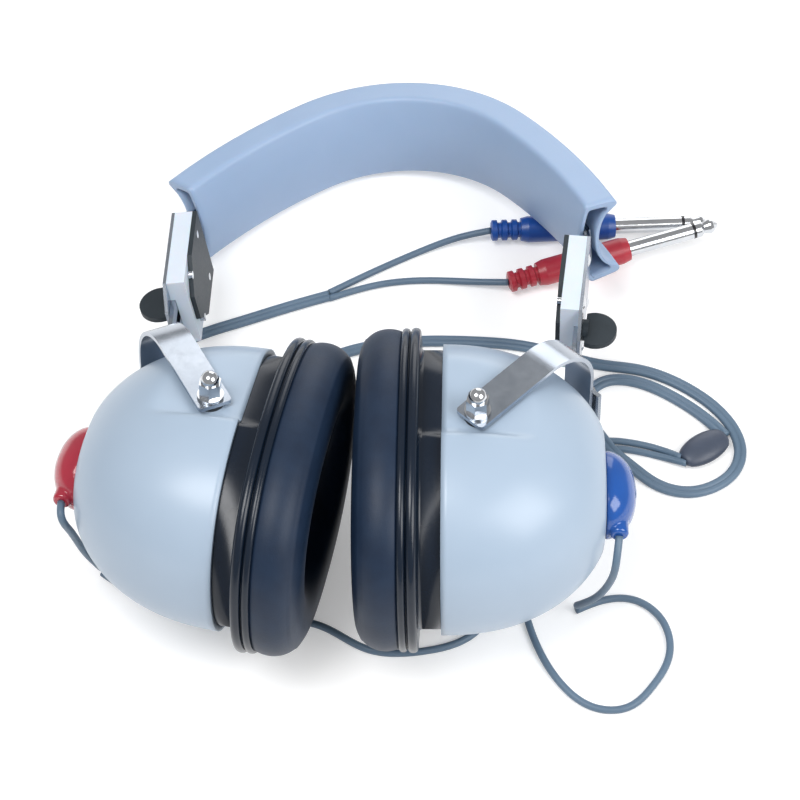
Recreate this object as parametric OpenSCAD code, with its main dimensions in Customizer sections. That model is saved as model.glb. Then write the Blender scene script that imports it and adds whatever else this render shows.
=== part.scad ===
// Audiometric headset lying on its back: two noise excluding cups on strap yokes,
// a padded spring headband, two signal leads, a twin cord and two 6.35 mm plugs.
// X runs to the right, Y towards the crown of the headband, Z up from the table.

/* [Headband] */
// width of the pad between its two inner ridges
band_w = 38.6; // [30:0.2:60]
// height of the pad's sides above the ridges
band_t = 12.4; // [9:0.2:18]
// how far each outer edge sits in from the ridge below it
band_setin = 1; // [0:0.5:5]
// wall of the hollow pad
band_wall = 1.5; // [1:0.1:2.4]
// how far the face on the head bulges out
band_bulge = 4; // [2:0.5:8]
// depth of the groove along the outside of the pad
groove_depth = 8.2; // [4:0.2:10]
// flat lip beside the groove
groove_lip = 3; // [2:0.5:6]
// radius of the arch over the crown, at the ridges
crown_r = 58; // [45:1:80]
// half angle of the crown arch
crown_half = 40; // [30:1:50]
// radius of the two flatter arches beside it
side_r = 195; // [120:5:300]
// slope at the cut ends of the pad
band_end = 58; // [50:1:70]
// width of the spring strip in the pad
spring_w = 16; // [12:1:24]
// thickness of the spring strip and of its end plates
spring_t = 1.2; // [0.8:0.1:2]
// length of the end plate riveted on the strip
tab_len = 16; // [12:1:24]

/* [Clamps and sliders] */
// length of the nylon clamp block
clamp_len = 37.5; // [34:0.5:55]
// width of the clamp, front to back
clamp_w = 32; // [28:1:40]
// thickness of the nylon block behind the slider
block_t = 5; // [3:0.5:8]
// thickness of the dark inner plate
inner_plate_t = 1.8; // [1:0.2:3]
// how far the outer plate reaches below the block
plate_drop = 8; // [2:1:12]
// width of the slider strip
slider_w = 14; // [12:1:18]
// thickness of the slider strip
slider_t = 1.6; // [1:0.1:2.5]
// length of the straight part of the slider
slider_len = 55; // [45:1:65]
// distance from the foot's hole to the slider's bend
foot_back = 6; // [5.5:0.5:10]
// thread size of the thumb screw
thumb_d = 4; // [3:0.5:5]
// diameter of the thumb screw's tab
tab_d = 16; // [14:1:24]
// diameter of the clamp rivets
rivet_d = 3; // [2:0.5:4]

/* [Yokes] */
// width of the yoke strap
yoke_w = 12; // [10:0.5:16]
// thickness of the yoke strap
yoke_t = 1.5; // [1:0.1:2.5]
// reach of the yoke from the pivot line to the strap's inner face
yoke_reach = 51.5; // [50:0.5:70]
// bend radius at the yoke's corners
yoke_r = 22; // [6:1:26]
// how far the strap runs past the pivot line
yoke_tail = 4.6; // [4.2:0.2:10]
// thread size of the cup pivots
pivot_d = 4; // [4:0.5:6]
// thread size of the swivel bolt
swivel_d = 4; // [4:0.5:6]

/* [Cups] */
// half height of the cup shell at its rim
cup_a = 51.6; // [48:0.2:60]
// half depth of the cup shell at its rim
cup_b = 42.6; // [40:0.2:50]
// depth of the shell from rim to crown
cup_h = 60; // [55:1:65]
// shell wall
cup_wall = 2.6; // [2:0.1:3.4]
// height of the seat for the yoke, from the middle of the cup
pocket_z = 37.6; // [35:0.2:40]
// distance of the pivot line from the rim, outward
pivot_out = 12; // [8:0.5:14]
// how far the pivot line lies above the middle of the cup
pivot_up = 1.4; // [0:0.2:4]
// length of the black neck between shell and flange
neck_len = 7.8; // [5:0.5:10]
// half height of the flange
flange_a = 58; // [55:0.2:66]
// half depth of the flange
flange_b = 46.4; // [45:0.2:56]
// thickness of the flange with its two beads
flange_t = 6.6; // [5:0.2:10]
// thickness of the ear cushion
cushion_t = 15.2; // [10:0.2:20]
// half height of the ear opening
opening_a = 31; // [26:1:36]
// half depth of the ear opening
opening_b = 22; // [19:1:26]
// diameter of the earphone capsule
driver_d = 36; // [28:1:40]
// where the flat land for the cable cap lies
land_x = 56; // [52:1:57]

/* [Cords and plugs] */
// diameter of a single lead
lead_d = 2.7; // [2:0.1:3.4]
// width of the twin cord
twin_w = 4.8; // [4:0.1:6]
// plug shaft diameter
plug_d = 6.35; // [6.3:0.01:6.4]
// bare plug length from boot to tip
plug_len = 38; // [32:0.5:42]
// boot length
boot_len = 50; // [40:1:60]
// boot diameter
boot_d = 10.6; // [9:0.2:14]

/* [Poses at rest] */
// headband: middle of the crown between its ridges
band_at = [6.7, 173, 23.5];
// headband: turn on the table, slope and lean
band_turn = [-10.4, -8.1, -7.5];
// left cup and right cup: middle of the pivot line
pivot_at = [[-65, -7.9, 50.6], [26.8, -10.4, 51.4]];
// left and right: direction of the yoke, degrees to the left of +Y
yoke_turn = [26.8, -44.8];
// left and right: slope of the yoke up to its swivel
yoke_slope = [-10, -3];
// left and right: roll of the yoke about its own length
yoke_roll = [7.2, -4.8];
// left and right: roll of the slider's foot about the same line
foot_roll = [-3.7, -6];
// left and right: tilt of the cup on its pivots
cup_tilt = [36.8, 43.3];
// left and right: turn of the slider from its foot
slide_turn = [28, 37];
// left and right: distance from the slider's bend to the top of the clamp
slide_out = [68.4, 61.3];

/* [Hidden] */
$fa = 6;
$fs = 0.6;
run_gap = 0.1;
slide_gap = 0.1;
press_gap = 0.05;
// play between two plates riveted face to face
face_gap = 0.03;
// play between the spring strip and the tabs riveted on it
tab_gap = 0.2;
washer_t = 1;
spacer_t = 1.5;
nut_t = 3.2;
acorn_t = 6.4;
nut_af = 7;
head_t = 1.2;
oval_e = 2.3;
dome_e = 2.2;
oval_n = 48;
steel = [0.78, 0.78, 0.76];
nylon = [0.92, 0.94, 0.96];
charcoal = [0.16, 0.17, 0.18];
pad_grey = [0.62, 0.69, 0.8];
shell_grey = [0.66, 0.72, 0.73];
black = [0.06, 0.07, 0.09];
cord_grey = [0.43, 0.47, 0.52];
red = [0.75, 0.16, 0.2];
blue = [0.06, 0.27, 0.68];
origin = [-17.65, 58.48, 0.03];
strap_corner = 1.5;
bend_r = 2.4;
foot_end = 8;
seat_gap = 2;
rivet_head = 0.8;
thumb_up = 5;
thumb_slot = [21, 49];
washer_d = 9;
spacer_d = 9;
neck_in = 2;
neck_wall = 5.4;
baffle_t = 3;
driver_t = 12;
cap_a = 16;
cap_b = 12.5;
cap_h = 11;
cap_y = -2.5;
spout_x = 60.5;
spout_y = -20;
spout_d = 6.6;
tip_start = 28.2;
collar_t = 1.2;
core_d = 3.6;
core_len = 6;
sleeve_in = 12;
stem_d = 5;
// derived places
strip_t0 = band_wall + run_gap - band_bulge * (1 - pow(spring_w / band_w, 2));
tab_t0 = strip_t0 + spring_t + tab_gap;
plate_x = slider_t / 2 + slide_gap;
block_x = -plate_x - block_t;
foot_y = yoke_reach + yoke_t + run_gap + washer_t;
leg_z = pocket_z + spacer_t + run_gap;
nut_z = leg_z + yoke_t + run_gap + washer_t;
pocket_low = norm([yoke_tail - strap_corner, yoke_w / 2 - strap_corner]) + strap_corner + seat_gap;
neck_a = cup_a - neck_in;
neck_b = cup_b - neck_in;
flange_x = -neck_len - flange_t;

// routes on the table, points chosen by hand: the third value is the height of the cord's middle
main_route = [[-28, 109, 1.4], [-45, 103, 1.4], [-63, 96, 1.4], [-80, 89, 1.4], [-89, 81, 1.4],
    [-84, 70, 1.4], [-70, 66, 1.4], [-54, 68, 1.4], [-38, 74, 1.4], [-18, 82.5, 1.4],
    [28, 86.5, 1.4], [52, 83.5, 1.4], [78, 75.5, 1.4], [92, 73.2, 1.4], [102, 69.6, 1.4],
    [112, 63.4, 1.4], [121, 55, 1.4], [127, 45, 1.4], [128.6, 36, 1.4], [125.6, 27, 1.4],
    [118, 20.4, 1.4], [108, 17.6, 1.4], [96, 21, 1.4], [87, 28, 2.6], [80, 34, 4.3], [75, 42, 4.3],
    [71, 52, 1.8], [72, 61, 1.4], [79, 67.6, 1.4], [92.6, 67, 1.4], [104, 61, 1.4], [113, 54, 1.4],
    [119, 47.6, 1.8]];
red_route = [[98, 36.6, 1.4], [87, 39.6, 1.4], [76, 40, 1.4], [64, 34, 1.4], [52, 20, 1.4],
    [42, 0, 1.4], [36, -26, 1.4], [25, -43, 1.4], [8, -49, 1.4], [-12, -48, 1.4], [-28, -39, 1.4],
    [-48, -36, 1.4], [-84, -32, 1.4]];
blue_route = [[98, 33.4, 1.4], [86, 36.4, 1.4], [77, 36.4, 1.4], [68, 30, 1.4], [58, 16, 1.4],
    [50, -5, 1.4], [45, -28, 1.4], [48, -44, 1.4], [57, -62, 1.4], [68, -71, 1.4], [80, -71, 1.4],
    [89, -63, 1.4], [96, -50, 1.4], [94, -36, 1.4], [84, -28, 1.4], [73, -28.5, 1.4]];
blue_tail_route = [[-28, 110.4, 1.4], [-12, 120, 1.4], [8, 131, 1.4], [24, 136.6, 3.6]];
red_tail_route = [[-28, 107.6, 1.4], [-8, 114.5, 1.4], [14, 116.5, 1.4], [30, 114.6, 3]];
// leads from the caps down to the table, left then right, in each cup's own frame
drop_route = [[[60.5, -20, 0], [59.3, -24.6, -0.4], [58.1, -21.5, -11.5], [56.3, -12.7, -32.1], [53.3, -5.5, -47.8]],
    [[60.5, -20, 0], [59.6, -26.2, -5.2], [58.8, -25.1, -17.2], [53.9, -20.3, -36.7], [48, -15.3, -48.9]]];
blue_plug_at = [36.5, 138, 6.2];
blue_plug_turn = [3.4, -1];
red_plug_at = [43, 112.5, 5.5];
red_plug_turn = [16.7, 3.4];
bead_at = [114.8, 36, 3.2];
bead_turn = 34;
bead_half = [9.8, 6.2, 3.2];
rib_pitch = 4;

// ---- helpers -------------------------------------------------------------

function unit(v) = v / norm(v);
function spin_z(v, a) = [v.x * cos(a) - v.y * sin(a), v.x * sin(a) + v.y * cos(a), v.z];
function spin_x(v, a) = [v.x, v.y * cos(a) - v.z * sin(a), v.y * sin(a) + v.z * cos(a)];
function spin_y(v, a) = [v.x * cos(a) + v.z * sin(a), v.y, -v.x * sin(a) + v.z * cos(a)];

// place of a cup's own point in the headset's frame; the left side is a mirror image
function from_cup(s, p) =
    let (q = spin_z([p.x - pivot_out, p.y - pivot_up, p.z], cup_tilt[s]))
    let (m = [s == 0 ? -q.x : q.x, q.y, q.z])
    pivot_at[s] + spin_z(spin_x(spin_y(m, yoke_roll[s]), yoke_slope[s]), yoke_turn[s]);

// rounded oval through the half height a along Y and the half depth b along Z
function oval(a, b, n) = [for (i = [0 : n - 1])
    let (t = 360 * i / n)
    [a * sign(cos(t)) * pow(abs(cos(t)), 2 / oval_e), b * sign(sin(t)) * pow(abs(sin(t)), 2 / oval_e)]];

// triangles between neighbouring rings of n points
function skin(rings, n, closed) = [for (j = [0 : rings - (closed ? 1 : 2)], i = [0 : n - 1])
    let (k = (i + 1) % n, a = j * n, b = ((j + 1) % rings) * n)
    each [[a + i, b + i, b + k], [a + i, b + k, a + k]]];

// solid through rows of [x, half height, half depth], square ended
module oval_stack(rows, n = oval_n) {
    points = [for (r = rows, q = oval(r[1], r[2], n)) [r[0], q[0], q[1]]];
    m = len(rows);
    low = [for (i = [0 : n - 1]) i];
    high = [for (i = [0 : n - 1]) m * n - 1 - i];
    polyhedron(points, concat(skin(m, n, false), [low, high]));
}

// closed ring through rows of [x, half height, half depth]
module oval_ring(rows) {
    points = [for (r = rows, q = oval(r[1], r[2], oval_n)) [r[0], q[0], q[1]]];
    polyhedron(points, skin(len(rows), oval_n, true));
}

// flat eight sided cord of width w and height h; flat names the cord's crosswise sense
module tube(path, w, h, across = [0, 0, 1]) {
    n = len(path);
    points = [for (i = [0 : n - 1])
        let (t = unit(path[min(i + 1, n - 1)] - path[max(i - 1, 0)]))
        let (s = unit(cross(t, across)))
        let (u = cross(t, s))
        for (k = [0 : 7]) path[i] + s * w / 2 * cos(45 * k) + u * h / 2 * sin(45 * k)];
    ends = [[for (k = [0 : 7]) k], [for (k = [0 : 7]) n * 8 - 1 - k]];
    polyhedron(points, concat(skin(n, 8, false), ends));
}

module drill(d, h) {
    cylinder(d = d, h = h, center = true);
}

// low dome of width d and height h on a flat base
module dome(d, h) {
    r = (d * d / 4 + h * h) / (2 * h);
    intersection() {
        translate([0, 0, h - r]) sphere(r);
        cylinder(d = d, h = h);
    }
}

module hex_prism(af, h) {
    cylinder(d = af / cos(30), h = h, $fn = 6);
}

// ---- frames --------------------------------------------------------------

module placed() {
    translate(-origin) children();
}

module band_frame() {
    translate(band_at) rotate([0, 0, band_turn[0]]) rotate([band_turn[1], 0, 0])
        rotate([0, band_turn[2], 0]) children();
}

module on_side(s, roll) {
    translate(pivot_at[s]) rotate([0, 0, yoke_turn[s]]) rotate([yoke_slope[s], 0, 0])
        rotate([0, roll, 0]) mirror([s == 0 ? 1 : 0, 0, 0]) children();
}

module yoke_frame(s) {
    on_side(s, yoke_roll[s]) children();
}

module cup_frame(s) {
    yoke_frame(s) rotate([0, 0, cup_tilt[s]]) translate([-pivot_out, -pivot_up, 0]) children();
}

module foot_frame(s) {
    on_side(s, foot_roll[s]) translate([0, foot_y, 0]) children();
}

// X out from the head through the clamp, Y up along the slider
module clamp_frame(s) {
    foot_frame(s) translate([-foot_back, slider_t / 2, 0]) rotate([0, 0, slide_turn[s]]) children();
}

// ---- headband ------------------------------------------------------------

// point of the arch at angle a from the crown, t outward from the ridges
function arch_point(a, t) =
    let (side = abs(a) > crown_half)
    let (shift = side ? (crown_r - side_r) * [sign(a) * sin(crown_half), cos(crown_half)] : [0, 0])
    shift + ((side ? side_r : crown_r) + t) * [sin(a), cos(a)] - [0, crown_r];

arch_steps = concat([for (i = [0 : 4]) -band_end + (band_end - crown_half) * i / 5],
    [for (i = [0 : 16]) crown_half * (i / 8 - 1)],
    [for (i = [1 : 5]) crown_half + (band_end - crown_half) * i / 5]);

// profile of [t, w] points swept along the arch between two angles' worth of steps
module arch_sweep(profile, steps) {
    n = len(profile);
    m = len(steps);
    points = [for (a = steps, q = profile) let (p = arch_point(a, q[0])) [p.x, p.y, q[1]]];
    low = [for (i = [0 : n - 1]) i];
    high = [for (i = [0 : n - 1]) m * n - 1 - i];
    polyhedron(points, concat(skin(m, n, false), [low, high]));
}

// outside of the pad: bulging inner face, sloped sides, lips and a grooved outer face
function pad_outside() =
    let (half = band_w / 2, lip = half - band_setin, groove = lip - groove_lip)
    concat([for (i = [0 : 12]) let (w = half * (1 - i / 6)) [-band_bulge * (1 - pow(w / half, 2)), w]],
        [[band_t - 0.6, -lip], [band_t, 0.8 - lip]],
        [for (i = [0 : 14]) let (q = 180 - 180 * i / 14) [band_t - groove_depth * sin(q), groove * cos(q)]],
        [[band_t, lip - 0.8], [band_t - 0.6, lip]]);

// hollow of the pad, a wall in from the outside, with a point for each of the outside's points
function pad_hollow() =
    let (half = band_w / 2 - 1.3 * band_wall, lip = half - band_setin, turn = 24)
    let (groove = lip + 0.3 * band_wall - groove_lip + band_wall, deep = groove_depth + band_wall)
    let (top = band_t - deep * sin(turn))
    concat([for (i = [0 : 12]) let (w = half * (1 - i / 6))
            [band_wall - band_bulge * (1 - pow(2 * w / band_w, 2)), w]],
        [[top - 1, -lip], [top, 0.6 - lip]],
        [for (i = [0 : 14]) let (q = 180 - turn - (180 - 2 * turn) * i / 14)
            [band_t - deep * sin(q), groove * cos(q)]],
        [[top, lip - 0.6], [top - 1, lip]]);

module headband_pad() {
    outside = pad_outside();
    n = len(outside);
    m = len(arch_steps);
    points = [for (profile = [outside, pad_hollow()], a = arch_steps, q = profile)
        let (p = arch_point(a, q[0])) [p.x, p.y, q[1]]];
    hollow = [for (f = skin(m, n, false)) [f[2], f[1], f[0]] + m * n * [1, 1, 1]];
    low = [for (i = [0 : n - 1]) let (k = (i + 1) % n)
        each [[i, k, m * n + i], [k, m * n + k, m * n + i]]];
    high = [for (f = low) [f[1], f[0], f[2]] + (m - 1) * n * [1, 1, 1]];
    color(pad_grey) placed() band_frame() polyhedron(points, concat(skin(m, n, false), hollow, low, high));
}

// the right end of the arch at the spring: X out from the head, Y back up the band
module arch_end() {
    shift = (side_r - crown_r) * [sin(crown_half), cos(crown_half)];
    translate([-shift[0], -crown_r - shift[1], 0]) rotate([0, 0, 90 - band_end])
        translate([side_r, 0, 0]) children();
}

module band_side(s) {
    band_frame() mirror([s == 0 ? 1 : 0, 0, 0]) children();
}

// the two rivet axes half way along the tab, pointing out from the head
module at_rivets() {
    arch_end() translate([-side_r, 0, 0]) rotate([0, 0, tab_len / side_r * 90 / PI])
        for (w = [-1, 1]) translate([side_r, 0, w * spring_w / 4]) rotate([0, 90, 0]) children();
}

module headband_spring() {
    color(steel) placed() band_frame() difference() {
        linear_extrude(spring_w, center = true) polygon(concat([for (a = arch_steps) arch_point(a, strip_t0 + spring_t)],
            [for (i = [1 : len(arch_steps)]) arch_point(arch_steps[len(arch_steps) - i], strip_t0)]));
        for (m = [0, 1]) mirror([m, 0, 0]) at_rivets() drill(rivet_d + 2 * press_gap, 12);
    }
}

module spring_rivets() {
    color(steel) placed() for (s = [0, 1]) band_side(s) at_rivets() {
        translate([0, 0, strip_t0]) cylinder(d = rivet_d, h = tab_t0 + spring_t - strip_t0);
        translate([0, 0, tab_t0 + spring_t]) cylinder(d = rivet_d + 2, h = rivet_head);
    }
}

// ---- clamps and sliders --------------------------------------------------

// outline in the clamp's plane, X up the slider and Y across it
module clamp_outline(length, taper, low_half) {
    half = clamp_w / 2;
    polygon([[0, -half], [0, half], [-length, half], [-length - taper, low_half],
        [-length - taper, -low_half], [-length, -half]]);
}

module on_clamp(s, x) {
    clamp_frame(s) translate([x, slide_out[s], 0]) rotate([90, 0, 90]) children();
}

module clamp_holes(gap) {
    for (y = [-8, 8 - clamp_len], w = [-1, 1]) translate([y, w * (clamp_w / 2 - 4.5), 0])
        drill(rivet_d + 2 * gap, 30);
    translate([thumb_up - clamp_len, 0, 0]) drill(thumb_d + 2 * run_gap, 30);
}

module clamp_block(s) {
    color(nylon) placed() on_clamp(s, block_x) difference() {
        linear_extrude(block_t + 2 * plate_x - face_gap) clamp_outline(clamp_len, 0, clamp_w / 2);
        translate([-clamp_len - 1, -slider_w / 2 - slide_gap, block_t])
            cube([clamp_len + 2, slider_w + 2 * slide_gap, 2 * plate_x + 1]);
        clamp_holes(press_gap);
    }
}

module inner_plate(s) {
    color(charcoal) placed() on_clamp(s, block_x - inner_plate_t) difference() {
        linear_extrude(inner_plate_t - face_gap) clamp_outline(clamp_len - 14, 12, 6);
        clamp_holes(press_gap);
    }
}

// the chrome plate over the clamp, bent to meet the spring's end and riveted to it
module end_plate(s) {
    thin = 0.08;
    color(steel) placed() difference() {
        union() {
            on_clamp(s, plate_x) linear_extrude(spring_t) clamp_outline(clamp_len, plate_drop, 8);
            hull() {
                on_clamp(s, plate_x + thin) translate([-1.2, thin - clamp_w / 2, 0])
                    cube([0.4, clamp_w - 2 * thin, spring_t - 2 * thin]);
                band_side(s) arch_end() translate([tab_t0 + thin, 0.5, thin - spring_w / 2])
                    cube([spring_t - 2 * thin, 0.4, spring_w - 2 * thin]);
            }
            band_side(s) arch_end() translate([-side_r, 0, 0])
                rotate_extrude(angle = tab_len / side_r * 180 / PI)
                translate([side_r + tab_t0, -spring_w / 2]) square([spring_t, spring_w]);
        }
        on_clamp(s, plate_x) clamp_holes(press_gap);
        band_side(s) at_rivets() drill(rivet_d + 2 * press_gap, 12);
    }
}

module clamp_rivets(s) {
    length = 2 * plate_x + block_t + inner_plate_t + spring_t;
    color(steel) placed() on_clamp(s, block_x - inner_plate_t)
        for (y = [-8, 8 - clamp_len], w = [-1, 1]) translate([y, w * (clamp_w / 2 - 4.5), 0]) {
            cylinder(d = rivet_d, h = length);
            translate([0, 0, length]) dome(rivet_d + 2, rivet_head);
        }
}

module thumb_screw(s) {
    shank = 2 * plate_x + block_t + inner_plate_t + spring_t + run_gap;
    color(charcoal) placed() on_clamp(s, block_x - inner_plate_t)
        translate([thumb_up - clamp_len, 0, 0]) {
            cylinder(d = thumb_d, h = shank);
            translate([0, 0, shank]) cylinder(d = 2 * thumb_d, h = 2);
            translate([0, 0, shank + 1]) intersection() {
                translate([0, 0, tab_d / 2 - 4.5]) rotate([0, 90, 90]) drill(tab_d, 2.2);
                translate([-tab_d, -tab_d, 0]) cube(2 * tab_d);
            }
        }
}

// the slider's edge: up along Y, round the bend and out along the foot
function slider_edge(s) =
    let (q = 90 - slide_turn[s], set = bend_r * tan(q / 2), end = foot_back + foot_end)
    let (foot = end * [sin(q), -cos(q)], half = slider_t / 2)
    concat([[-half, slider_len]],
        [for (i = [0 : 6]) let (a = 180 + q * i / 6) [bend_r, set] + (bend_r + half) * [cos(a), sin(a)]],
        [foot - half * [cos(q), sin(q)], foot + half * [cos(q), sin(q)]],
        [for (i = [0 : 6]) let (a = 180 + q - q * i / 6) [bend_r, set] + (bend_r - half) * [cos(a), sin(a)]],
        [[half, slider_len]]);

module slider(s) {
    slot_d = thumb_d + 0.6;
    color(steel) placed() difference() {
        clamp_frame(s) linear_extrude(slider_w, center = true) polygon(slider_edge(s));
        clamp_frame(s) for (y = thumb_slot) translate([0, y, 0]) rotate([0, 90, 0]) drill(slot_d, 4);
        clamp_frame(s) translate([-2, thumb_slot[0], -slot_d / 2])
            cube([4, thumb_slot[1] - thumb_slot[0], slot_d]);
        foot_frame(s) rotate([90, 0, 0]) drill(swivel_d + 2 * press_gap, 10);
    }
}

// ---- yokes ---------------------------------------------------------------

// area inside the yoke's bend, grown by g, X front and Y towards the swivel
module yoke_area(g, low) {
    side = leg_z - yoke_r;
    translate([-leg_z - g, -low]) square([2 * (leg_z + g), yoke_reach - yoke_r + low]);
    translate([-side, -low]) square([2 * side, yoke_reach + g + low]);
    for (m = [-1, 1]) translate([m * side, yoke_reach - yoke_r]) circle(yoke_r + g);
}

// the strap's flat outline from its tail up
module strap_face() {
    corner_x = yoke_w / 2 - strap_corner;
    translate([-yoke_w / 2, strap_corner - yoke_tail])
        square([yoke_w, yoke_reach + yoke_tail + yoke_t]);
    translate([-corner_x, -yoke_tail]) square([2 * corner_x, strap_corner + 1]);
    for (m = [-1, 1]) translate([m * corner_x, strap_corner - yoke_tail]) circle(strap_corner);
}

module yoke(s) {
    color(steel) placed() yoke_frame(s) difference() {
        intersection() {
            rotate([0, -90, 0]) linear_extrude(yoke_w + 2, center = true) difference() {
                yoke_area(yoke_t, yoke_tail);
                yoke_area(0, yoke_tail + 1);
            }
            linear_extrude(2 * leg_z + 10, center = true) strap_face();
        }
        drill(pivot_d + 2 * run_gap, 3 * leg_z);
        translate([0, yoke_reach, 0]) rotate([90, 0, 0]) drill(swivel_d + 2 * run_gap, 10);
    }
}

module swivel_axis(s, y) {
    foot_frame(s) translate([0, y - foot_y, 0]) rotate([-90, 0, 0]) children();
}

module swivel_bolt(s) {
    head_y = yoke_reach - run_gap;
    color(steel) placed() {
        swivel_axis(s, head_y) rotate([180, 0, 0]) dome(8, head_t);
        swivel_axis(s, head_y) cylinder(d = swivel_d, h = foot_y + slider_t + nut_t + 0.5 - head_y);
    }
}

module ring(d, hole, h) {
    difference() {
        cylinder(d = d, h = h);
        translate([0, 0, -1]) cylinder(d = hole, h = h + 2);
    }
}

module hex_nut(d) {
    difference() {
        hex_prism(nut_af, nut_t);
        translate([0, 0, -1]) cylinder(d = d + 2 * press_gap, h = nut_t + 2);
    }
}

module swivel_nut(s) {
    color(steel) placed() {
        swivel_axis(s, foot_y - washer_t) ring(washer_d, swivel_d + 2 * press_gap, washer_t);
        swivel_axis(s, foot_y + slider_t) hex_nut(swivel_d);
    }
}

// ---- cup pivots: front and back alike ------------------------------------

module both_pivots(s, z) {
    yoke_frame(s) for (m = [0, 1]) mirror([0, 0, m]) translate([0, 0, z]) children();
}

module pivot_studs(s) {
    low = pocket_z - cup_wall;
    color(steel) placed() both_pivots(s, low) {
        cylinder(d = pivot_d, h = nut_z + nut_t + 3.6 - low);
        translate([0, 0, -2]) cylinder(d = 8, h = 2);
    }
}

module pivot_spacers(s) {
    color(black) placed() both_pivots(s, pocket_z) ring(spacer_d, pivot_d + 2 * press_gap, spacer_t);
}

module pivot_nuts(s) {
    color(steel) placed() {
        both_pivots(s, nut_z - washer_t) ring(washer_d, pivot_d + 2 * press_gap, washer_t);
        both_pivots(s, nut_z) hex_nut(pivot_d);
    }
}

module acorn_nuts(s) {
    base = 2.4;
    color(steel) placed() both_pivots(s, nut_z + nut_t) difference() {
        union() {
            hex_prism(nut_af, base);
            translate([0, 0, base]) dome(nut_af - 0.8, acorn_t - base);
        }
        translate([0, 0, -1]) cylinder(d = pivot_d + 2 * press_gap, h = 5);
    }
}

// ---- cups ----------------------------------------------------------------

// share of the rim size that a dome of depth h keeps at depth x
function dome_k(x, h) = pow(1 - pow(x / h, dome_e), 1 / dome_e);

// rows of a dome: depth h, half sizes a and b, with more rows near its crown
function dome_rows(h, a, b) = [for (i = [0 : 12])
    let (x = h * pow(sin(78 * i / 12), 2 / dome_e))
    [x, a * dome_k(x, h), b * dome_k(x, h)]];

module pivot_holes() {
    translate([pivot_out, pivot_up, 0]) drill(pivot_d + 2 * press_gap, 4 * pocket_z);
}

// space in front of and behind the cup for the yoke and its nuts
module pockets() {
    for (m = [0, 1]) mirror([0, 0, m])
        translate([-neck_len, pivot_up - pocket_low, pocket_z]) cube([cup_h + neck_len, 2 * cup_a, cup_b]);
}

module cup_shell(s) {
    color(shell_grey) placed() cup_frame(s) difference() {
        oval_stack(dome_rows(cup_h, cup_a, cup_b));
        translate([land_x, -cup_a, -cup_b]) cube([cup_h, 2 * cup_a, 2 * cup_b]);
        pockets();
        difference() {
            oval_stack(concat([[-1, cup_a - cup_wall, cup_b - cup_wall]],
                dome_rows(cup_h - cup_wall, cup_a - cup_wall, cup_b - cup_wall)));
            translate([land_x - cup_wall, -cup_a, -cup_b]) cube([cup_h, 2 * cup_a, 2 * cup_b]);
            for (m = [0, 1]) mirror([0, 0, m])
                translate([-2, pivot_up - pocket_low - cup_wall, pocket_z - cup_wall])
                cube([cup_h, 2 * cup_a, cup_b]);
        }
        pivot_holes();
    }
}

// neck and flange: the flange has a bead, a groove and a second bead
module cup_rim(s) {
    a = flange_a;
    b = flange_b;
    in_a = neck_a - neck_wall;
    in_b = neck_b - neck_wall;
    face_a = opening_a + 7;
    face_b = opening_b + 7;
    bead = flange_t / 2;
    rim_rows = [[0, 0], [0.15, 0.9], [0.5, 1.3], [0.85, 0.9], [1, 0.2]];
    outer = [for (j = [0, 1], r = rim_rows)
        [flange_x + bead * (j + r[0]), a - 1.3 + r[1], b - 1.3 + r[1]]];
    color(black) placed() cup_frame(s) difference() {
        oval_ring(concat(outer, [[-neck_len, neck_a, neck_b], [0, neck_a, neck_b], [0, in_a, in_b],
            [-baffle_t, in_a, in_b], [-baffle_t, face_a, face_b], [flange_x, face_a, face_b]]));
        pockets();
    }
}

module foam_liner(s) {
    gap = 1.5;
    inner_h = cup_h - cup_wall;
    rows = [for (i = [0 : 5])
        let (x = driver_t + 4 + i * 6.4)
        let (k = dome_k(x, inner_h))
        [x, (cup_a - cup_wall) * k - gap, min((cup_b - cup_wall) * k, pocket_z - cup_wall) - gap]];
    color(charcoal) placed() cup_frame(s) oval_stack(rows, 32);
}

// cushion section: drawn in at its seams, fullest half way out and crowned on its face
module ear_cushion(s) {
    seam = -25;
    rise = 1 - sin(seam);
    mid_a = (flange_a - 0.3 + opening_a) / 2;
    mid_b = (flange_b - 0.2 + opening_b) / 2;
    half_a = mid_a - opening_a;
    half_b = mid_b - opening_b;
    angles = concat([for (i = [0 : 7]) 90 + (seam - 90) * i / 7],
        [for (i = [0 : 6]) 180 - seam + (seam - 90) * i / 7]);
    rows = [for (q = angles)
        let (c = sign(cos(q)) * pow(abs(cos(q)), 0.75))
        [flange_x - cushion_t * (sin(q) - sin(seam)) / rise, mid_a + half_a * c, mid_b + half_b * c]];
    color(black) placed() cup_frame(s) oval_ring(rows);
}

// grille plate in the neck, over the earphone
module baffle(s) {
    color(charcoal) placed() cup_frame(s) difference() {
        oval_stack([for (x = [-baffle_t, 0])
            [x, neck_a - neck_wall - press_gap, neck_b - neck_wall - press_gap]], 32);
        for (r = [0, 1, 2], i = [0 : max(0, 6 * r - 1)]) rotate([60 / max(r, 1) * i, 0, 0])
            translate([-baffle_t / 2, 6 * r, 0]) rotate([0, 90, 0]) drill(3, 2 * baffle_t);
    }
}

module earphone(s) {
    color(black) placed() cup_frame(s) rotate([0, 90, 0]) {
        cylinder(d = driver_d, h = driver_t - 3);
        translate([0, 0, driver_t - 3]) cylinder(d = driver_d - 8, h = 3);
    }
}

// hooded cap on the crown of the cup with a spout for the lead
module cable_cap(s, tint) {
    rows = [for (i = [0 : 6])
        let (x = cap_h * sin(13 * i))
        [land_x + x, cap_a * dome_k(x, cap_h), cap_b * dome_k(x, cap_h)]];
    color(tint) placed() cup_frame(s) union() {
        translate([0, cap_y, 0]) oval_stack(rows, 32);
        translate([spout_x, cap_y, 0]) rotate([90, 0, 0]) cylinder(d = spout_d, h = cap_y - spout_y);
    }
}

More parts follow.
